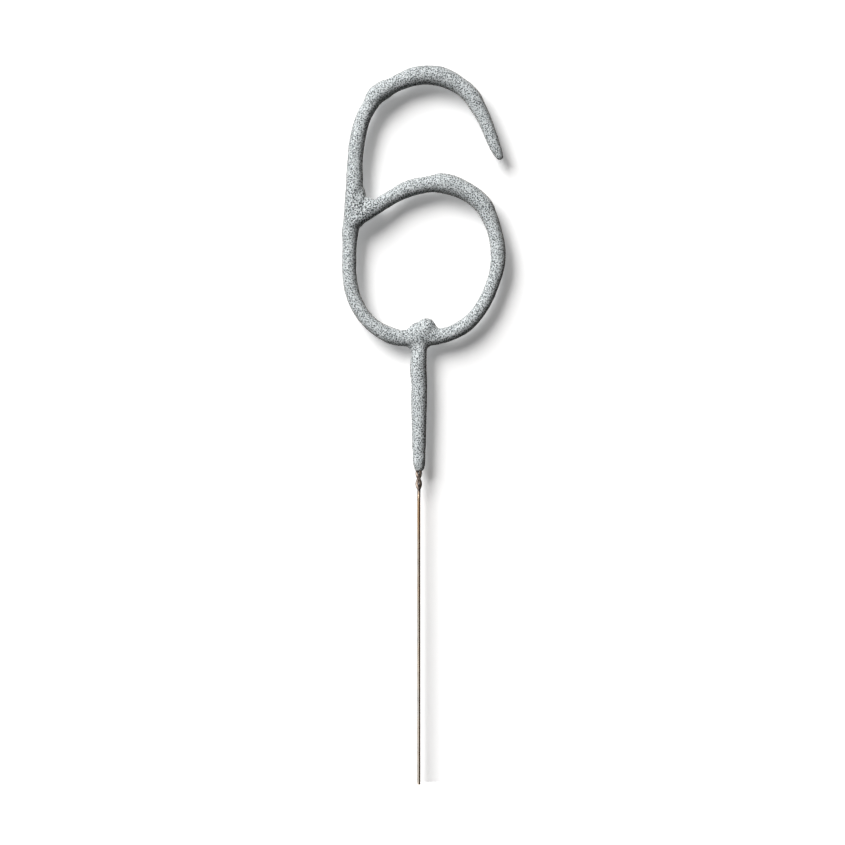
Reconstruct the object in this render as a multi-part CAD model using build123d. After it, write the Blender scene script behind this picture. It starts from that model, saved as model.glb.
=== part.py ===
from build123d import *
import math
import os

# A sparkler in the shape of the numeral six, standing upright on its stem.
# One steel wire is bent into the numeral. A second, straight one hooks over the bottom of the bowl, and its tail
# comes back down twisted with itself. The crust is the dipped and dried sparkler mix round both.
# Millimetres. X runs to the right, Z up, and the front faces -Y. The origin is the centre of the stem's cut end.

# The numeral, measured over the crust
figure_width = 41.0
figure_height = 70.2
figure_foot = 109.4  # the numeral's lowest point above the stem's cut end
bowl_offset = 0.05  # the middle of the bowl's bottom to the left of the stem's axis
crust_diameter = 4.0  # the numeral's usual thickness, which the crust's own shares follow

# The wires
wire_diameter = 0.8
wire_gap = 0.06  # between two wires that touch on the real object
channel_clearance = 0.02  # round a wire in the crust

# The stem and its twist
bare_twist = 4.5  # from the crust down to the tail's cut end
ease_length = 2.6  # the stem's gentle bend out into the twist
twist_whole_turns = 6
tail_turn = 85.0  # degrees that the stem has still to turn, at the tail's cut end, before it lies on the right

# The hook over the bowl's bottom
hook_drop = 3.1  # the top of the twist below the bowl's wire
hook_rise = 3.4  # the hook's crown above the bowl's wire
hook_offset = 1.95  # the hook's crown to the right of the stem's axis
hook_gap = 0.16  # between the hook's wire and the bowl's, front and back

# The crust on the stem
stem_crust_foot = 78.4
stem_crust_diameter = 3.8
collar_depth = 2.8  # the collar under the bowl, front to back
collar_drop = 3.1  # the collar's lowest point below the bowl's wire

# The long web of crust between the left leg and the end of the bowl, and the fill of the corner above them
web_diameter = 3.8
web_height = 11.0
fill_diameter = 3.5

# The numeral's bends, from the free tip over the crown and down the left leg to the middle of the bowl's bottom.
# Each row has the place across the width from the left edge, the place up the height from the foot, and the crust's
# thickness there, all as shares.
HOOK_AND_LEG_SHARES = (
    (0.964, 0.678, 0.46),
    (0.943, 0.705, 0.64),
    (0.907, 0.758, 0.78),
    (0.870, 0.811, 0.86),
    (0.825, 0.861, 0.97),
    (0.768, 0.908, 1.06),
    (0.691, 0.941, 1.09),
    (0.602, 0.963, 1.21),
    (0.554, 0.967, 1.17),
    (0.506, 0.968, 1.16),
    (0.410, 0.957, 1.10),
    (0.364, 0.946, 1.02),
    (0.275, 0.921, 1.11),
    (0.232, 0.905, 1.16),
    (0.199, 0.887, 1.10),
    (0.181, 0.868, 0.98),
    (0.163, 0.850, 0.92),
    (0.129, 0.810, 0.92),
    (0.103, 0.755, 0.96),
    (0.088, 0.698, 0.95),
    (0.080, 0.612, 1.04),
    (0.074, 0.540, 1.03),
    (0.066, 0.480, 1.02),
    (0.058, 0.430, 1.02),
    (0.051, 0.405, 1.02),
    (0.050, 0.370, 0.89),
    (0.047, 0.300, 0.87),
    (0.053, 0.235, 0.88),
    (0.071, 0.184, 0.87),
    (0.113, 0.131, 0.87),
    (0.181, 0.083, 0.88),
    (0.258, 0.052, 0.96),
    (0.344, 0.033, 0.99),
)
# The middle of the bowl's bottom, where the stem hangs
BOTTOM_SHARES = (0.470, 0.030, 1.02)
# From there up the bowl's right side and over its top.
BOWL_SHARES = (
    (0.560, 0.034, 0.97),
    (0.638, 0.043, 0.90),
    (0.727, 0.066, 0.93),
    (0.802, 0.101, 0.86),
    (0.860, 0.147, 0.83),
    (0.903, 0.197, 0.82),
    (0.936, 0.249, 0.83),
    (0.954, 0.305, 0.90),
    (0.951, 0.363, 0.91),
    (0.930, 0.419, 0.92),
    (0.893, 0.473, 1.02),
    (0.842, 0.519, 1.14),
    (0.765, 0.552, 1.15),
    (0.676, 0.575, 1.23),
    (0.585, 0.584, 1.17),
    (0.534, 0.579, 0.99),
    (0.437, 0.568, 1.02),
    (0.346, 0.546, 0.94),
)
# The bowl's end crosses the left leg in front of it. Its rows also have the way to the front, as a share of the
# distance that the two wires need, before the thickness.
LAP_SHARES = (
    (0.261, 0.517, 0.30, 0.91),
    (0.170, 0.483, 0.80, 0.94),
    (0.085, 0.452, 1.00, 0.94),
    (0.042, 0.425, 0.95, 0.60),
)
# The crust on the stem: the place up from its foot to the bowl's wire, the place to the right and the thickness,
# the last two as shares of the stem crust's thickness.
STEM_CRUST_SHARES = (
    (0.000, 0.01, 0.50),
    (0.020, 0.03, 0.62),
    (0.050, 0.03, 0.76),
    (0.100, 0.02, 0.82),
    (0.170, 0.01, 0.88),
    (0.250, 0.01, 0.90),
    (0.350, 0.02, 0.93),
    (0.470, 0.02, 0.99),
    (0.590, 0.02, 1.04),
    (0.690, 0.01, 1.02),
    (0.780, -0.03, 1.07),
    (0.870, 0.02, 0.98),
    (1.000, 0.05, 1.00),
)
# The collar where the stem's crust spreads into the bowl's: the place up its height, and its width as a share of the
# stem crust's.
COLLAR_SHARES = (
    (0.00, 0.90),
    (0.18, 1.12),
    (0.38, 1.55),
    (0.60, 2.15),
    (1.00, 2.60),
)
COLLAR_SIDE_SHARE = 0.05  # the collar's middle to the left, as a share of the stem crust's thickness
TIP_BALL_SHARE = 0.95  # the diameter of the tip's round end, as a share of the tip's thickness
# The round lumps that make the hump over the hook: its crown, its shoulder and toe on the left, its foot on the
# right, and the middle that carries them down over the bowl. Each row has the place across, the place up, and the
# lump's diameter as a share of the crust's thickness.
HUMP_SHARES = (
    (0.517, 0.069, 1.16),
    (0.468, 0.052, 1.22),
    (0.430, 0.045, 0.87),
    (0.552, 0.053, 0.87),
    (0.489, 0.043, 1.28),
)
# Middles of the web and the corner's fill, across and up the numeral
WEB_PLACE_SHARES = (0.108, 0.504)
FILL_PLACE_SHARES = (0.166, 0.507)

up = Vector(0, 0, 1)
back = Vector(0, 1, 0)
right = Vector(1, 0, 0)
nearly_none = 1e-6  # a difference between two directions that is too small to bend for
run_spans = 4  # the stretches between places that one run of crust takes in


def figure_place(across_share, up_share, front_share=0.0):
    """A point of the numeral, from its shares across, up and to the front."""
    return Vector(
        figure_width * (across_share - BOTTOM_SHARES[0]) - bowl_offset,
        -(wire_diameter + 2 * wire_gap) * front_share,
        figure_foot + figure_height * up_share,
    )


def wire_ways(places):
    """The wire's direction at each place: along the circle through it and its two neighbours."""
    steps = [after - before for before, after in zip(places, places[1:])]
    ways = [(a * (1 / a.length**2) + b * (1 / b.length**2)).normalized() for a, b in zip(steps, steps[1:])]
    first = steps[0].normalized()
    last = steps[-1].normalized()
    start_way = first * (2 * first.dot(ways[0])) - ways[0]
    end_way = last * (2 * last.dot(ways[-1])) - ways[-1]
    return [start_way, *ways, end_way]


def bend(start, corner, end):
    """The arc that leaves start towards corner and reaches end from corner, or a line where they are in line."""
    middle = (start + end) * 0.5
    rise = corner - middle
    half_chord = (end - start).length / 2
    if rise.length < nearly_none * half_chord:
        return Line(start, end)
    cosine = half_chord / (corner - start).length
    return ThreePointArc(start, middle + rise * (cosine / (1 + cosine)), end)


def two_bends(start, start_way, end, end_way):
    """The smooth stretch of wire between two places whose directions are given, as two arcs."""
    span = end - start
    if (span.normalized() - start_way).length + (span.normalized() - end_way).length < nearly_none:
        return [Line(start, end)]
    spread = 2 * (1 - start_way.dot(end_way))
    along = span.dot(start_way + end_way)
    if spread < nearly_none:
        reach = span.dot(span) / (2 * along)
    else:
        reach = (math.sqrt(along**2 + spread * span.dot(span)) - along) / spread
    first_corner = start + start_way * reach
    last_corner = end - end_way * reach
    meeting = (first_corner + last_corner) * 0.5
    return [bend(start, first_corner, meeting), bend(meeting, last_corner, end)]


def wire_path(places, ways):
    """One smooth path through all places."""
    edges = []
    for start, start_way, end, end_way in zip(places, ways, places[1:], ways[1:]):
        edges += two_bends(start, start_way, end, end_way)
    return Wire([edge for piece in edges for edge in piece.edges()])


def bent_wire(places, ways, diameter):
    """A round wire along the smooth path through places."""
    section = Plane(origin=places[0], x_dir=back, z_dir=ways[0]) * Circle(diameter / 2)
    return sweep(section, path=wire_path(places, ways))


def crust_runs(places, ways, diameters):
    """Runs of crust that meet face to face, round at each place and smooth between the places."""
    sections = [
        Plane(origin=place, x_dir=back, z_dir=way) * Circle(diameter / 2)
        for place, way, diameter in zip(places, ways, diameters)
    ]
    return [loft(sections[start : start + run_spans + 1]) for start in range(0, len(sections) - 1, run_spans)]


def ball(place, diameter):
    """A round lump of crust."""
    return Pos(*place) * Sphere(diameter / 2)


def upright_egg(place, diameter, height):
    """A lump of crust, round seen from above and longer upright."""
    whole_section = Plane.XZ * Ellipse(diameter / 2, height / 2)
    half_section = whole_section & Pos(diameter / 2, 0, 0) * Box(diameter, diameter, height)
    return Pos(*place) * revolve(half_section, Axis.Z)


# The numeral's wire and crust follow the same places.
figure_rows = [
    *((across, height, 0.0, thickness) for across, height, thickness in HOOK_AND_LEG_SHARES),
    (BOTTOM_SHARES[0], BOTTOM_SHARES[1], 0.0, BOTTOM_SHARES[2]),
    *((across, height, 0.0, thickness) for across, height, thickness in BOWL_SHARES),
    *LAP_SHARES,
]
figure_places = [figure_place(across, height, front) for across, height, front, _ in figure_rows]
figure_ways = wire_ways(figure_places)
figure_thicknesses = [crust_diameter * row[-1] for row in figure_rows]
bottom_index = len(HOOK_AND_LEG_SHARES)
bottom = figure_places[bottom_index]


def figure_wire(diameter):
    """The wire that is bent into the numeral."""
    return bent_wire(figure_places, figure_ways, diameter)


# The twist: two strands round the stem's axis, each touching the other.
tail_foot = stem_crust_foot - bare_twist
strand_radius = (wire_diameter + wire_gap) / 2
twist_top = bottom.Z - hook_drop
twist_turns = twist_whole_turns + (tail_turn + 90) / 360
twist_pitch = (twist_top - tail_foot) / twist_turns
twist_steps = math.ceil(4 * twist_turns)  # a quarter turn or less each


def strand(start_angle):
    """Places and directions of a strand that climbs from the tail's foot, turning to the right at the front."""
    places = []
    ways = []
    for step in range(twist_steps + 1):
        climbed_share = step / twist_steps
        angle = math.radians(start_angle - 360 * twist_turns * climbed_share)
        outward = right * math.cos(angle) + back * math.sin(angle)
        onward = right * math.sin(angle) - back * math.cos(angle)
        places.append(outward * strand_radius + up * (tail_foot + twist_turns * twist_pitch * climbed_share))
        ways.append((onward * (2 * math.pi * strand_radius) + up * twist_pitch).normalized())
    return places, ways


def stem_wire(diameter):
    """The stem: straight up, twisted with its own tail, over the bowl's wire and back down."""
    rising_places, rising_ways = strand(tail_turn)
    tail_places, tail_ways = strand(tail_turn + 180)
    crown = right * hook_offset + up * (bottom.Z + hook_rise)
    past_bowl = right * (hook_offset / 2) + up * bottom.Z
    clear = back * (wire_diameter + hook_gap)
    places = [
        Vector(0, 0, 0),
        up * (tail_foot - ease_length),
        *rising_places,
        past_bowl - clear,
        crown,
        past_bowl + clear,
        *reversed(tail_places),
    ]
    ways = [
        up,
        up,
        *rising_ways,
        up,
        back,
        up * -1,
        *(way * -1 for way in reversed(tail_ways)),
    ]
    return bent_wire(places, ways, diameter)


def stem_crust():
    """The crust on the upper part of the stem, with its pinched foot."""
    length = bottom.Z - stem_crust_foot
    places = [
        right * (stem_crust_diameter * side) + up * (stem_crust_foot + length * climbed)
        for climbed, side, _ in STEM_CRUST_SHARES
    ]
    diameters = [stem_crust_diameter * thickness for _, _, thickness in STEM_CRUST_SHARES]
    return crust_runs(places, [up] * len(places), diameters)


def collar():
    """The spread of the stem's crust into the bowl's, wide and of even depth."""
    side = right * (-stem_crust_diameter * COLLAR_SIDE_SHARE)
    foot = side + up * (bottom.Z - collar_drop)
    return loft(
        [
            Plane(origin=foot + up * (collar_drop * climbed), x_dir=right, z_dir=up)
            * Ellipse(stem_crust_diameter * spread / 2, collar_depth / 2)
            for climbed, spread in COLLAR_SHARES
        ]
    )


def coating():
    """The whole crust, hollow where the wires run."""
    whole, *runs = crust_runs(figure_places, figure_ways, figure_thicknesses)
    for piece in (
        *runs,
        ball(figure_places[0], TIP_BALL_SHARE * figure_thicknesses[0]),
        *stem_crust(),
        collar(),
        *(ball(figure_place(across, height), crust_diameter * spread) for across, height, spread in HUMP_SHARES),
        upright_egg(figure_place(*WEB_PLACE_SHARES), web_diameter, web_height),
        ball(figure_place(*FILL_PLACE_SHARES), fill_diameter),
    ):
        whole = whole + piece
    channel_diameter = wire_diameter + 2 * channel_clearance
    return whole - figure_wire(channel_diameter) - stem_wire(channel_diameter)


nodes = {
    "stem_wire": stem_wire(wire_diameter),
    "figure_wire": figure_wire(wire_diameter),
    "coating": coating(),
}
os.makedirs("parts", exist_ok=True)
for name, solid in nodes.items():
    export_step(solid, f"parts/{name}.step")
    print(name, "volume", round(solid.volume, 2), "mm3, size", solid.bounding_box().size)
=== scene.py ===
# %% [markdown]
# # A numeral sparkler, finished
#
# The measured solids of a cake sparkler are already here: a stem wire, a wire bent into a numeral, and the
# crust of dried sparkler mix round both. This lesson gives them their looks. The crust becomes a lumpy,
# gritty skin with dark iron grains in it, and the stem becomes drawn steel wire with a brown oxide on it.
#
# Everything is in metres in the solids' own frame: X to the right, Z up, and the numeral is read from -Y.

# %% Load the solids
import math
import bmesh
import bpy
from mathutils import Matrix, Vector, noise
from mathutils.bvhtree import BVHTree


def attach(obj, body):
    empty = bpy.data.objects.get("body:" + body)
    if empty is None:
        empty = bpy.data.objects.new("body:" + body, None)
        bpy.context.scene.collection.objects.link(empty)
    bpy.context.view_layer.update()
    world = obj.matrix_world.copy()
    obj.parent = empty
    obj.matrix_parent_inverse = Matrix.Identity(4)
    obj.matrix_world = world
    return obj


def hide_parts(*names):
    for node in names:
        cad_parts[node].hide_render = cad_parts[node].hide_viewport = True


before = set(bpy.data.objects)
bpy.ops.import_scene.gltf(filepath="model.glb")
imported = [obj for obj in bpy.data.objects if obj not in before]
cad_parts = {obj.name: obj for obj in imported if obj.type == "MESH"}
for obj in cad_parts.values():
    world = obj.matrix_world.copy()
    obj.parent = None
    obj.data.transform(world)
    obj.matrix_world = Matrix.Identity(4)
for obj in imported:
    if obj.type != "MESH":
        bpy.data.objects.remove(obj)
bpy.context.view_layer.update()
scene = bpy.context.scene
mm = 0.001


def in_mm(place):
    """A place or a size in millimetres, to print."""
    return [round(v / mm, 1) for v in place]


# %% [markdown]
# ## The camera
#
# The photograph looks straight at the numeral from the front. It is 845 pixels wide and high, and a pixel is
# a quarter of a millimetre at the numeral. A long lens keeps the round crust from bulging at the picture's
# middle.

# %% Camera
picture_pixels = 845
pixel_size = 0.25 * mm
picture_span = picture_pixels * pixel_size
stem_pixel = 418.8  # the stem's axis across the photograph
foot_pixel = 784.5  # the stem's cut end down the photograph
lens = 90.0
sensor = 36.0
nearest_seen = 10 * mm
picture_centre = Vector(
    ((picture_pixels / 2 - stem_pixel) * pixel_size, 0, (foot_pixel - picture_pixels / 2) * pixel_size)
)
camera_distance = picture_span * lens / sensor


def new_object(name, data):
    """An object of that data, in the scene."""
    item = bpy.data.objects.new(name, data)
    scene.collection.objects.link(item)
    return item


camera_data = bpy.data.cameras.new("front_camera")
camera_data.lens = lens
camera_data.sensor_width = sensor
camera_data.clip_start = nearest_seen
camera = new_object("front_camera", camera_data)
camera.location = picture_centre - Vector((0, camera_distance, 0))
camera.rotation_euler = (math.radians(90), 0, 0)
scene.camera = camera
print("the picture spans", round(picture_span / mm, 2), "mm from", round(camera_distance / mm), "mm away")

# %% [markdown]
# ## Node materials in few lines
#
# A procedural finish is a small network of nodes. These helpers add a node with its sockets set or joined,
# so that each finish below reads as a list of what it is made of.


# %% Node helpers
def new_material(name):
    """An empty node material and its tree."""
    material = bpy.data.materials.new(name)
    material.use_nodes = True
    material.node_tree.nodes.clear()
    return material, material.node_tree


def add(tree, kind, sockets=None, **settings):
    """A node of that kind, with its settings, and its sockets set to a value or joined to another socket."""
    node = tree.nodes.new(kind if "Node" in kind else "ShaderNode" + kind)
    for name, value in settings.items():
        setattr(node, name, value)
    for name, value in (sockets or {}).items():
        if isinstance(value, bpy.types.NodeSocket):
            tree.links.new(value, node.inputs[name])
        else:
            node.inputs[name].default_value = value
    return node


def colour(red, green, blue):
    """A colour as a screen shows it, from 0 to 255, as the linear one that a shader takes."""
    near_black, slope, shift, power = 0.04, 12.92, 0.055, 2.4  # the screen's curve
    shares = [v / 255 for v in (red, green, blue)]
    return (*(v / slope if v < near_black else ((v + shift) / (1 + shift)) ** power for v in shares), 1.0)


def grey(value):
    """A grey for ramps that carry a plain number."""
    return (value, value, value, 1.0)


def steps(tree, value, stops):
    """A ramp from a value from 0 to 1 to a colour, by (place, colour) stops."""
    ramp = add(tree, "ValToRGB", {"Fac": value})
    elements = ramp.color_ramp.elements
    while len(elements) < len(stops):
        elements.new(0.5)
    for element, (place, shade) in zip(elements, stops):
        element.position = place
        element.color = shade
    return ramp.outputs["Color"]


print("a screen's middle grey is", round(colour(128, 128, 128)[0], 3), "to a shader")

# %% [markdown]
# ## The white wall and the floor
#
# The sparkler stands a few millimetres before a white wall, which takes its soft shadow. What the camera
# sees of them is white where no shadow falls, and duller to everything else, so that they don't fill the
# crust's dark side with light. Seen from behind, in a reflection, and by the light that comes from behind,
# the wall isn't there.

# %% Stage material
dull_share = 0.06


def larger(tree, one, other):
    """The larger of two numbers."""
    return add(tree, "Math", {0: one, 1: other}, operation="MAXIMUM").outputs[0]


def seen(tree):
    """One for what the camera, a reflection or glass sees, and zero for all other light."""
    path = add(tree, "LightPath").outputs
    straight = larger(tree, path["Is Camera Ray"], path["Is Glossy Ray"])
    return larger(tree, straight, path["Is Transmission Ray"])


def stage_material(name, own_light, one_sided):
    """White as seen, dull to other light, with some light of its own.

    The paint of a one-sided sheet is open from behind, to gloss and to the lamps' light.
    """
    material, tree = new_material(name)
    looked_at = seen(tree)
    tone = add(tree, "MapRange", {"Value": looked_at, "To Min": dull_share, "To Max": 1.0})
    paint = add(tree, "BsdfDiffuse", {"Color": tone.outputs["Result"]})
    glow_strength = add(tree, "Math", {0: looked_at, 1: own_light}, operation="MULTIPLY")
    glow = add(tree, "Emission", {"Strength": glow_strength.outputs[0]})
    surface = add(tree, "AddShader", {0: paint.outputs[0], 1: glow.outputs[0]}).outputs[0]
    if one_sided:
        path = add(tree, "LightPath").outputs
        unseen = larger(tree, path["Is Shadow Ray"], path["Is Glossy Ray"])
        open_to = larger(tree, add(tree, "NewGeometry").outputs["Backfacing"], unseen)
        clear = add(tree, "BsdfTransparent").outputs[0]
        surface = add(tree, "MixShader", {"Fac": open_to, 1: surface, 2: clear}).outputs[0]
    add(tree, "OutputMaterial", {"Surface": surface})
    print(name, "has", len(tree.nodes), "nodes")
    return material


# %% Wall and floor
wall_behind = 3.7 * mm
stage_half_width = 0.3
wall_middle = Vector((0, wall_behind, stage_half_width))
wall_light = 0.185
floor_middle = Vector((0, wall_behind - stage_half_width, 0))
floor_light = 0.4


def finished_mesh(name, shape):
    """The mesh of an edited shape, which is freed."""
    mesh = bpy.data.meshes.new(name)
    shape.to_mesh(mesh)
    shape.free()
    return mesh


def stage_sheet(name, turn, middle, material):
    """A flat square of the stage, turned about X and moved to its place."""
    shape = bmesh.new()
    bmesh.ops.create_grid(shape, x_segments=1, y_segments=1, size=stage_half_width)
    bmesh.ops.rotate(shape, verts=shape.verts, cent=(0, 0, 0), matrix=Matrix.Rotation(turn, 3, "X"))
    bmesh.ops.translate(shape, verts=shape.verts, vec=middle)
    sheet = new_object(name, finished_mesh(name, shape))
    sheet.data.materials.append(material)
    return sheet


wall = stage_sheet("wall", math.radians(90), wall_middle, stage_material("wall_white", wall_light, True))
stage_sheet("floor", 0, floor_middle, stage_material("floor_white", floor_light, False))
print("the wall faces", [round(v, 1) for v in wall.data.polygons[0].normal])

# %% [markdown]
# ## Light
#
# One large lamp high on the left gives the soft shadow on the lower right and leaves the crust's lower right
# edge dark. A weak lamp from the front fills, and one from behind lights the back. A lamp's power is worked
# out from the level that it gives on a surface that faces it, so a white surface renders just white.

# %% Lamps
key_direction = Vector((-0.8, -1.0, 0.88)).normalized()
key_distance = 3.0
key_size = (1.6, 2.3)  # across and up
key_level = 1.36
fill_direction = Vector((-0.3, -1, 0.85)).normalized()
fill_distance = 1.6
fill_size = (0.9, 0.5)
fill_level = 0.13
back_direction = Vector((0.12, 1, 0.25)).normalized()
back_distance = 1.4
back_size = (0.4, 0.4)
back_level = 0.75
white_light = (1.0, 1.0, 1.0)
warm_light = colour(255, 250, 246)[:3]


def soft_lamp(name, direction, distance, size, level, tint):
    """An oval lamp that looks at the numeral and lights what faces it to that level."""
    data = bpy.data.lights.new(name, "AREA")
    data.shape = "ELLIPSE"
    data.size, data.size_y = size
    data.color = tint
    data.energy = level * (math.pi * distance) ** 2
    lamp = new_object(name, data)
    lamp.location = picture_centre + direction * distance
    lamp.rotation_mode = "QUATERNION"
    lamp.rotation_quaternion = direction.to_track_quat("Z", "Y")
    print(name, "has", round(data.energy, 1), "W")


soft_lamp("key_lamp", key_direction, key_distance, key_size, key_level, white_light)
soft_lamp("fill_lamp", fill_direction, fill_distance, fill_size, fill_level, warm_light)
soft_lamp("back_lamp", back_direction, back_distance, back_size, back_level, white_light)

# %% [markdown]
# The studio round the numeral is white to the camera and in reflections. To all other light it is nearly
# dark, so that it doesn't fill the shadow.

# %% World
ambient_level = 0.02

world = bpy.data.worlds.new("studio")
world.use_nodes = True
world_tree = world.node_tree
world_tree.nodes.clear()
looked_at = seen(world_tree)
studio_level = add(world_tree, "MapRange", {"Value": looked_at, "To Min": ambient_level, "To Max": 1.0})
studio = add(world_tree, "Background", {"Color": grey(1.0), "Strength": studio_level.outputs["Result"]})
add(world_tree, "OutputWorld", {"Surface": studio.outputs[0]})
scene.world = world
scene.view_settings.view_transform = "Standard"
print("the studio has", len(world_tree.nodes), "nodes")

# %% [markdown]
# A shining wire shows what stands round it. A dark card on the floor, bent up round the front and the right,
# gives it the dark line that it has in the photograph, beside the bright one from the white studio. A
# second, narrow one does the same at the back. Gloss alone sees them.

# %% Dark cards
card_radii = (0.6 * mm, 0.9)  # where its floor part begins, and where it is bent up
card_foot = 0.05 * mm
card_height = 0.7
card_segments = 24
front_turns = (math.radians(-12), math.radians(125))  # from left of the front round by the right
back_turns = (math.radians(195), math.radians(240))
card_colour = colour(84, 70, 60)
card_material, card_tree = new_material("card_brown")
card_glow = add(card_tree, "Emission", {"Color": card_colour})
add(card_tree, "OutputMaterial", {"Surface": card_glow.outputs[0]})


def dark_card(name, first_turn, last_turn):
    """A card on the floor, bent up at its outer edge, that gloss alone sees."""
    shape = bmesh.new()
    bmesh.ops.create_grid(shape, x_segments=card_segments, y_segments=2, size=1)
    for vert in shape.verts:
        share = (vert.co.x + 1) / 2
        turn = first_turn + share * (last_turn - first_turn)
        radius = card_radii[0] if vert.co.y < -0.5 else card_radii[1]
        height = card_height if vert.co.y > 0.5 else card_foot
        vert.co = Vector((radius * math.sin(turn), -radius * math.cos(turn), height))
    card = new_object(name, finished_mesh(name, shape))
    card.data.materials.append(card_material)
    card.visible_camera = False
    card.visible_diffuse = False
    card.visible_transmission = False
    card.visible_volume_scatter = False
    card.visible_shadow = False
    print(name, "has", len(card.data.polygons), "faces")


dark_card("dark_card_front", *front_turns)
dark_card("dark_card_back", *back_turns)

# %% [markdown]
# ## The crust's shape
#
# The crust is a powder and glue mix that is dipped on and dried in layers, so it has no edges: where one run
# meets another, the mix has flowed into a soft fillet, and the whole is lumpy. The solid has the right size
# and course but hard seams between its runs. A copy of it is merged, its hidden wire channels are cut away
# and closed, and the rest is remeshed into even little squares. Smoothing then melts the seams, and noise
# that is read at each point of the surface pushes it out and in.

# %% Merge the solid's copy and drop its channels
merge_distance = 0.001 * mm
channel_reach = 0.12 * mm  # a face of the channel is this near to a wire, and a face of the skin isn't


def merged_copy(node):
    """The mesh of a solid, with its loose triangles joined."""
    shape = bmesh.new()
    shape.from_mesh(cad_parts[node].data)
    bmesh.ops.remove_doubles(shape, verts=shape.verts, dist=merge_distance)
    return shape


skin = merged_copy("coating")
for wire in ("figure_wire", "stem_wire"):
    wire_shape = merged_copy(wire)
    wire_tree = BVHTree.FromBMesh(wire_shape)
    channel = [
        face for face in skin.faces if wire_tree.find_nearest(face.calc_center_median(), channel_reach)[0]
    ]
    bmesh.ops.delete(skin, geom=channel, context="FACES")
    wire_shape.free()
    print(wire, "had", len(channel), "faces of channel round it")
open_edges = [edge for edge in skin.edges if edge.is_boundary]
bmesh.ops.triangle_fill(skin, edges=open_edges, use_beauty=True)
bmesh.ops.recalc_face_normals(skin, faces=skin.faces)
left_open = [edge for edge in skin.edges if not edge.is_manifold]
print("closed", len(open_edges), "open edges,", len(left_open), "are left open")

# %% [markdown]
# The remesh and the smoothing are modifiers on a helper object. Their result is taken as a plain mesh.

# %% Remesh and smooth
skin_square = 0.215 * mm
smooth_rounds = 22
smooth_share = 0.5  # of the way to the neighbours' middle, in one round


def plain_mesh(helper, name):
    """The helper object's mesh with its modifiers applied. The helper is removed."""
    mesh = bpy.data.meshes.new_from_object(helper.evaluated_get(bpy.context.evaluated_depsgraph_get()))
    mesh.name = name
    bpy.data.objects.remove(helper)
    return mesh


skin_helper = new_object("crust_helper", finished_mesh("crust_helper", skin))
remesh = skin_helper.modifiers.new("even_squares", "REMESH")
remesh.mode = "VOXEL"
remesh.voxel_size = skin_square
melt = skin_helper.modifiers.new("melted_seams", "SMOOTH")
melt.factor = smooth_share
melt.iterations = smooth_rounds
crust_mesh = plain_mesh(skin_helper, "crust")
print("the skin has", len(crust_mesh.vertices), "points")

# %% [markdown]
# Where two runs lap, and where the stem's hook goes over the bowl, the mix has filled the hollow between
# them. Their fronts and backs are relaxed towards their neighbours' depth until they are flush, and the
# outline stays as it is.

# %% Flush laps
flush_rounds = 60
flush_lean = 0.3  # a point whose normal leans less than this to the front or back is on the outline
laps = (
    ("leg and bowl", Vector((-13.6, 0, 142.8)) * mm, 5.0 * mm),
    ("hook and bowl", Vector((1.2, 0, 111.8)) * mm, 5.2 * mm),
)

shape = bmesh.new()
shape.from_mesh(crust_mesh)
shape.normal_update()
for name, middle, reach in laps:
    flush = []
    for vert in shape.verts:
        across = vert.co - middle
        across.y = 0
        if across.length < reach and abs(vert.normal.y) > flush_lean:
            flush.append(vert)
    for _ in range(flush_rounds):
        bmesh.ops.smooth_vert(shape, verts=flush, factor=smooth_share, use_axis_y=True)
    print("the lap of", name, "is made flush at", len(flush), "points")
shape.normal_update()

# %% [markdown]
# The lumps come in three sizes: broad swellings where a dip ran, small blisters, and grit that is nearly as
# fine as the mesh. Each is a cheap smooth noise, so the same place always gives the same lump.

# %% Lumps and grit
swelling = (4.5 * mm, 0.05 * mm)  # how wide such a lump is, and how high
blister = (1.5 * mm, 0.045 * mm)
grit = (0.42 * mm, 0.032 * mm)
noise_shift = Vector((7.0, 3.0, 5.0))  # so that each size has a pattern of its own
swollen = 0.07 * mm  # what the smoothing took off

moves = []
for vert in shape.verts:
    lift = swollen
    for number, (span, height) in enumerate((swelling, blister, grit)):
        lift += height * noise.noise(vert.co / span + noise_shift * number)
    moves.append((vert, vert.normal * lift))
for vert, move in moves:
    vert.co += move
shape.to_mesh(crust_mesh)
shape.free()
for polygon in crust_mesh.polygons:
    polygon.use_smooth = True
crust = new_object("crust", crust_mesh)
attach(crust, "root")
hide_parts("coating")
print("the crust is", in_mm(crust.dimensions), "mm")

# %% [markdown]
# ## The iron grains
#
# The dark specks in the crust are iron filings, and the larger ones stand out of it. Points are spread over
# the skin, no two nearer than the grains' least spacing, and each gets a small lump of twenty faces, of its
# own size, flattened along the surface and turned by chance. A fixed seed gives the same grains each time.

# %% Iron grains
grain_spacing = 0.52 * mm
grain_density = 4.5e6  # points tried on a square metre, before the spacing thins them
grain_radius = 0.17 * mm
grain_faces = 20
grain_turn = (0.25, 0.25, 2 * math.pi)  # a slight lean, and any turn on the surface
smallest_grain = (0.6, 0.6, 0.2)  # times the lump along the surface and away from it
largest_grain = (1.2, 1.2, 0.4)
grain_seed = 6


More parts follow.
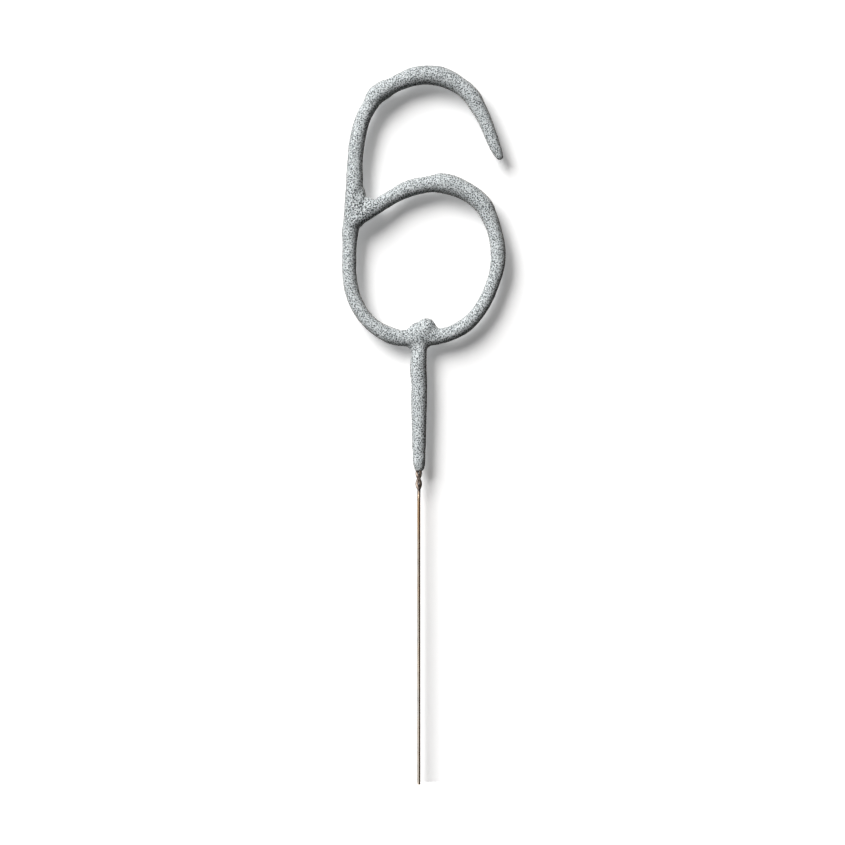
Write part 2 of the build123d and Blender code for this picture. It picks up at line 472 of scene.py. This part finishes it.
def spread_grains(name):
    """The skin's iron grains, as one mesh."""
    tree = bpy.data.node_groups.new(name, "GeometryNodeTree")
    tree.interface.new_socket("Geometry", in_out="INPUT", socket_type="NodeSocketGeometry")
    tree.interface.new_socket("Geometry", in_out="OUTPUT", socket_type="NodeSocketGeometry")
    skin_in = add(tree, "NodeGroupInput")
    points = add(
        tree,
        "GeometryNodeDistributePointsOnFaces",
        {
            "Mesh": skin_in.outputs[0],
            "Distance Min": grain_spacing,
            "Density Max": grain_density,
            "Seed": grain_seed,
        },
        distribute_method="POISSON",
    )
    lump = add(tree, "GeometryNodeMeshIcoSphere", {"Radius": grain_radius, "Subdivisions": 1})
    turn = add(tree, "FunctionNodeRandomValue", {"Max": grain_turn}, data_type="FLOAT_VECTOR")
    size = add(
        tree, "FunctionNodeRandomValue", {0: smallest_grain, 1: largest_grain}, data_type="FLOAT_VECTOR"
    )
    placed = add(
        tree,
        "GeometryNodeInstanceOnPoints",
        {
            "Points": points.outputs["Points"],
            "Instance": lump.outputs[0],
            "Rotation": points.outputs["Rotation"],
            "Scale": size.outputs[0],
        },
    )
    turned = add(
        tree, "GeometryNodeRotateInstances", {"Instances": placed.outputs[0], "Rotation": turn.outputs[0]}
    )
    joined = add(tree, "GeometryNodeRealizeInstances", {0: turned.outputs[0]})
    add(tree, "NodeGroupOutput", {0: joined.outputs[0]})

    helper = new_object(name, crust_mesh)
    helper.modifiers.new("grains", "NODES").node_group = tree
    return plain_mesh(helper, name)


grain_mesh = spread_grains("iron_grains")
grains = new_object("iron_grains", grain_mesh)
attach(grains, "root")
print("the crust holds", len(grain_mesh.polygons) // grain_faces, "grains")

# %% [markdown]
# ## The crust's finish
#
# Dried mix is a matt, light blue-grey powder, mottled where the grains of barium salt and aluminium lie
# nearer to the surface, and peppered with dark iron. The mottling is noise, the pepper is a cell pattern of
# which only the cells' middles are dark, and a fine bump breaks the light up between the modelled grit.

# %% Crust material
mottle_size = 0.27 * mm
pepper_size = 0.44 * mm
crust_bump = 0.12 * mm
dark_iron = colour(30, 36, 39)
pooled = (  # where the dip pooled and holds more iron: a middle, a reach, and how much more
    (Vector((-14.5, -1.5, 143.5)) * mm, 8.5 * mm, 0.12),
    (Vector((1.0, -1.5, 176.9)) * mm, 7.0 * mm, 0.07),
    (Vector((0.5, -2.0, 112.0)) * mm, 6.5 * mm, 0.03),
)


def passing(tree, value, start, end, low, high):
    """A number that passes smoothly from low to high while the value goes from start to end."""
    limits = {"From Min": start, "From Max": end, "To Min": low, "To Max": high}
    return add(tree, "MapRange", {"Value": value, **limits}, interpolation_type="SMOOTHSTEP").outputs[0]


def crust_material():
    """Light powder, mottled and peppered."""
    material, tree = new_material("crust")
    place = add(tree, "TexCoord").outputs["Object"]
    mottle = add(
        tree, "TexNoise", {"Vector": place, "Scale": 1 / mottle_size, "Detail": 1.0, "Roughness": 0.6}
    )
    powder = steps(
        tree,
        mottle.outputs["Fac"],
        ((0.36, colour(156, 163, 165)), (0.48, colour(202, 208, 210)), (0.60, colour(230, 234, 235))),
    )
    pepper = add(tree, "TexVoronoi", {"Vector": place, "Scale": 1 / pepper_size, "Randomness": 0.85})
    spread = pepper.outputs["Distance"]
    for middle, reach, more in pooled:
        away = add(tree, "VectorMath", {0: place, 1: middle}, operation="DISTANCE").outputs["Value"]
        denser = passing(tree, away, 0.0, reach, more, 0.0)
        spread = add(tree, "Math", {0: spread, 1: denser}, operation="SUBTRACT").outputs[0]
    pepper_mask = steps(tree, spread, ((0.29, grey(1.0)), (0.36, grey(0.0))))
    peppered = add(tree, "Mix", {"Factor": pepper_mask, 6: powder, 7: dark_iron}, data_type="RGBA")
    bump = add(tree, "Bump", {"Height": mottle.outputs["Fac"], "Strength": 0.6, "Distance": crust_bump})
    surface = add(
        tree,
        "BsdfPrincipled",
        {
            "Base Color": peppered.outputs[2],
            "Roughness": 0.85,
            "Specular IOR Level": 0.25,
            "Sheen Weight": 0.5,
            "Sheen Roughness": 0.4,
            "Sheen Tint": colour(255, 238, 222),
            "Normal": bump.outputs["Normal"],
        },
    )
    add(tree, "OutputMaterial", {"Surface": surface.outputs[0]})
    return material


def finish_with(mesh, material):
    """Puts that one material on the mesh."""
    mesh.materials.clear()
    mesh.materials.append(material)
    print(mesh.name, "is finished with", material.name, "of", len(material.node_tree.nodes), "nodes")


finish_with(crust_mesh, crust_material())

# %% [markdown]
# The grains that stand out are dull filed iron, and powder clings to them in patches.

# %% Iron material
dust_size = 0.3 * mm


def iron_material():
    """Dull filed iron, dusted with the powder."""
    material, tree = new_material("iron")
    place = add(tree, "TexCoord").outputs["Object"]
    dust = add(tree, "TexNoise", {"Vector": place, "Scale": 1 / dust_size, "Detail": 2.0})
    dusted = steps(tree, dust.outputs["Fac"], ((0.40, dark_iron), (0.62, colour(90, 99, 102))))
    surface = add(tree, "BsdfPrincipled", {"Base Color": dusted, "Metallic": 0.2, "Roughness": 0.7})
    add(tree, "OutputMaterial", {"Surface": surface.outputs[0]})
    return material


finish_with(grain_mesh, iron_material())

# %% [markdown]
# ## The stem wire
#
# The stem is one length of drawn wire: straight up from its cut end, then wound round its own tail under the
# crust. Only the straight part and the first turn show. A curve with a round bevel makes it, from the same
# sizes as the solid, because a shining wire would show the few flat sides of the solid's mesh.

# %% Sizes of the stem
wire_radius = 0.4 * mm
twist_gap = 0.06 * mm  # between two strands that touch on the real object
tail_foot = 73.9 * mm
ease_length = 2.6 * mm  # the gentle bend out into the twist
stem_top = 84.0 * mm  # well inside the crust
twist_top = 108.406 * mm
twist_whole_turns = 6
tail_turn = 85.0  # degrees round from X, where the stem is at the tail's cut end
strand_radius = wire_radius + twist_gap / 2
twist_turns = twist_whole_turns + (tail_turn + 90) / 360
twist_pitch = (twist_top - tail_foot) / twist_turns
print("the twist climbs", round(twist_pitch / mm, 2), "mm a turn")

# %% Course of the stem and its tail
ease_foot = tail_foot - ease_length
ease_steps = 12
turn_step = 0.12 * mm
climb = int((stem_top - tail_foot) / turn_step)


def strand_point(start_angle, height):
    """A point of a strand that winds clockwise, seen from above, as it climbs."""
    angle = math.radians(start_angle - 360 * (height - tail_foot) / twist_pitch)
    return Vector((math.cos(angle) * strand_radius, math.sin(angle) * strand_radius, height))


stem_points = [Vector((0, 0, 0)), Vector((0, 0, ease_foot))]
first_out = strand_point(tail_turn, tail_foot)
for step in range(1, ease_steps):
    share = step / ease_steps
    eased = share * share * (3 - 2 * share)
    stem_points.append(Vector((first_out.x * eased, first_out.y * eased, ease_foot + ease_length * share)))
stem_points += [strand_point(tail_turn, tail_foot + turn_step * step) for step in range(climb)]
tail_points = [strand_point(tail_turn + 180, tail_foot + turn_step * step) for step in range(climb)]
print("the stem's course has", len(stem_points), "points, and its tail's", len(tail_points))

# %% Draw the wire
bevel_steps = 6


def wire_from(name, points):
    """Round wire through the points, as a mesh."""
    data = bpy.data.curves.new(name, "CURVE")
    data.dimensions = "3D"
    data.bevel_depth = wire_radius
    data.bevel_resolution = bevel_steps
    data.use_fill_caps = True
    line = data.splines.new("POLY")
    line.points.add(len(points) - 1)
    for point, place in zip(line.points, points):
        point.co = (*place, 1)
    return plain_mesh(new_object(name, data), name)


stem_mesh = wire_from("stem_wire_drawn", stem_points)
tail_mesh = wire_from("stem_tail_drawn", tail_points)
shape = bmesh.new()
shape.from_mesh(stem_mesh)
shape.from_mesh(tail_mesh)
bmesh.ops.recalc_face_normals(shape, faces=shape.faces)
shape.to_mesh(stem_mesh)
shape.free()
for polygon in stem_mesh.polygons:
    polygon.use_smooth = len(polygon.vertices) == 4
stem = new_object("stem_wire_drawn", stem_mesh)
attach(stem, "root")
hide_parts("stem_wire")
print("the stem has", len(stem_mesh.polygons), "faces")

# %% [markdown]
# ## The wire's finish
#
# Plain drawn steel with a thin brown oxide: fine lines run along it from the die, the brown comes and goes
# over a few centimetres, and it still shines where the light strikes it. The twist under the crust is dull
# and dark with what ran down from the dip.

# %% Wire material
line_width = 0.12 * mm
line_stretch = 0.06  # the lines' pattern is squeezed to this along the wire, which draws it out
wire_bump = 0.02 * mm
drift_length = 14 * mm
browned_from = 55 * mm  # the oxide browns towards the crust
browned_to = 68 * mm
more_brown = 0.3
soiled_from = 70.0 * mm  # the dip's dark residue, up to the crust
soiled_to = 74.0 * mm
patch_size = 0.7 * mm
bare_metallic = 1.0
bare_roughness = 0.14
soiled_metallic = 0.55
soiled_roughness = 0.45


def wire_material():
    """Drawn steel under a thin brown oxide, soiled in the twist."""
    material, tree = new_material("wire")
    place = add(tree, "TexCoord").outputs["Object"]
    height = add(tree, "SeparateXYZ", {"Vector": place}).outputs["Z"]
    along = add(tree, "Mapping", {"Vector": place, "Scale": (1.0, 1.0, line_stretch)})
    lines = add(tree, "TexNoise", {"Vector": along.outputs[0], "Scale": 1 / line_width, "Detail": 2.0})
    streaks = steps(tree, lines.outputs["Fac"], ((0.3, grey(0.6)), (0.7, grey(1.0))))
    bump = add(tree, "Bump", {"Height": lines.outputs["Fac"], "Strength": 0.15, "Distance": wire_bump})
    drift = add(tree, "TexNoise", {"Vector": place, "Scale": 1 / drift_length, "Detail": 2.0})
    heated = passing(tree, height, browned_from, browned_to, 0.0, more_brown)
    browned = add(tree, "Math", {0: drift.outputs["Fac"], 1: heated}, operation="ADD")
    oxide = steps(
        tree,
        browned.outputs[0],
        ((0.40, colour(214, 208, 200)), (0.60, colour(222, 206, 186)), (0.80, colour(228, 194, 156))),
    )
    tint = add(tree, "Mix", {"Factor": 1.0, 6: oxide, 7: streaks}, data_type="RGBA", blend_type="MULTIPLY")
    patches = add(tree, "TexNoise", {"Vector": place, "Scale": 1 / patch_size, "Detail": 2.0})
    residue = steps(tree, patches.outputs["Fac"], ((0.35, colour(70, 58, 50)), (0.65, colour(150, 136, 124))))
    soiled = passing(tree, height, soiled_from, soiled_to, 0.0, 1.0)
    paint = add(tree, "Mix", {0: soiled, 6: tint.outputs[2], 7: residue}, data_type="RGBA")
    metallic = add(tree, "MapRange", {"Value": soiled, "To Min": bare_metallic, "To Max": soiled_metallic})
    roughness = add(tree, "MapRange", {"Value": soiled, "To Min": bare_roughness, "To Max": soiled_roughness})
    surface = add(
        tree,
        "BsdfPrincipled",
        {
            "Base Color": paint.outputs[2],
            "Metallic": metallic.outputs[0],
            "Roughness": roughness.outputs[0],
            "Normal": bump.outputs["Normal"],
        },
    )
    add(tree, "OutputMaterial", {"Surface": surface.outputs[0]})
    return material


wire_finish = wire_material()
finish_with(stem_mesh, wire_finish)
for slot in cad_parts["figure_wire"].material_slots:
    slot.material = wire_finish
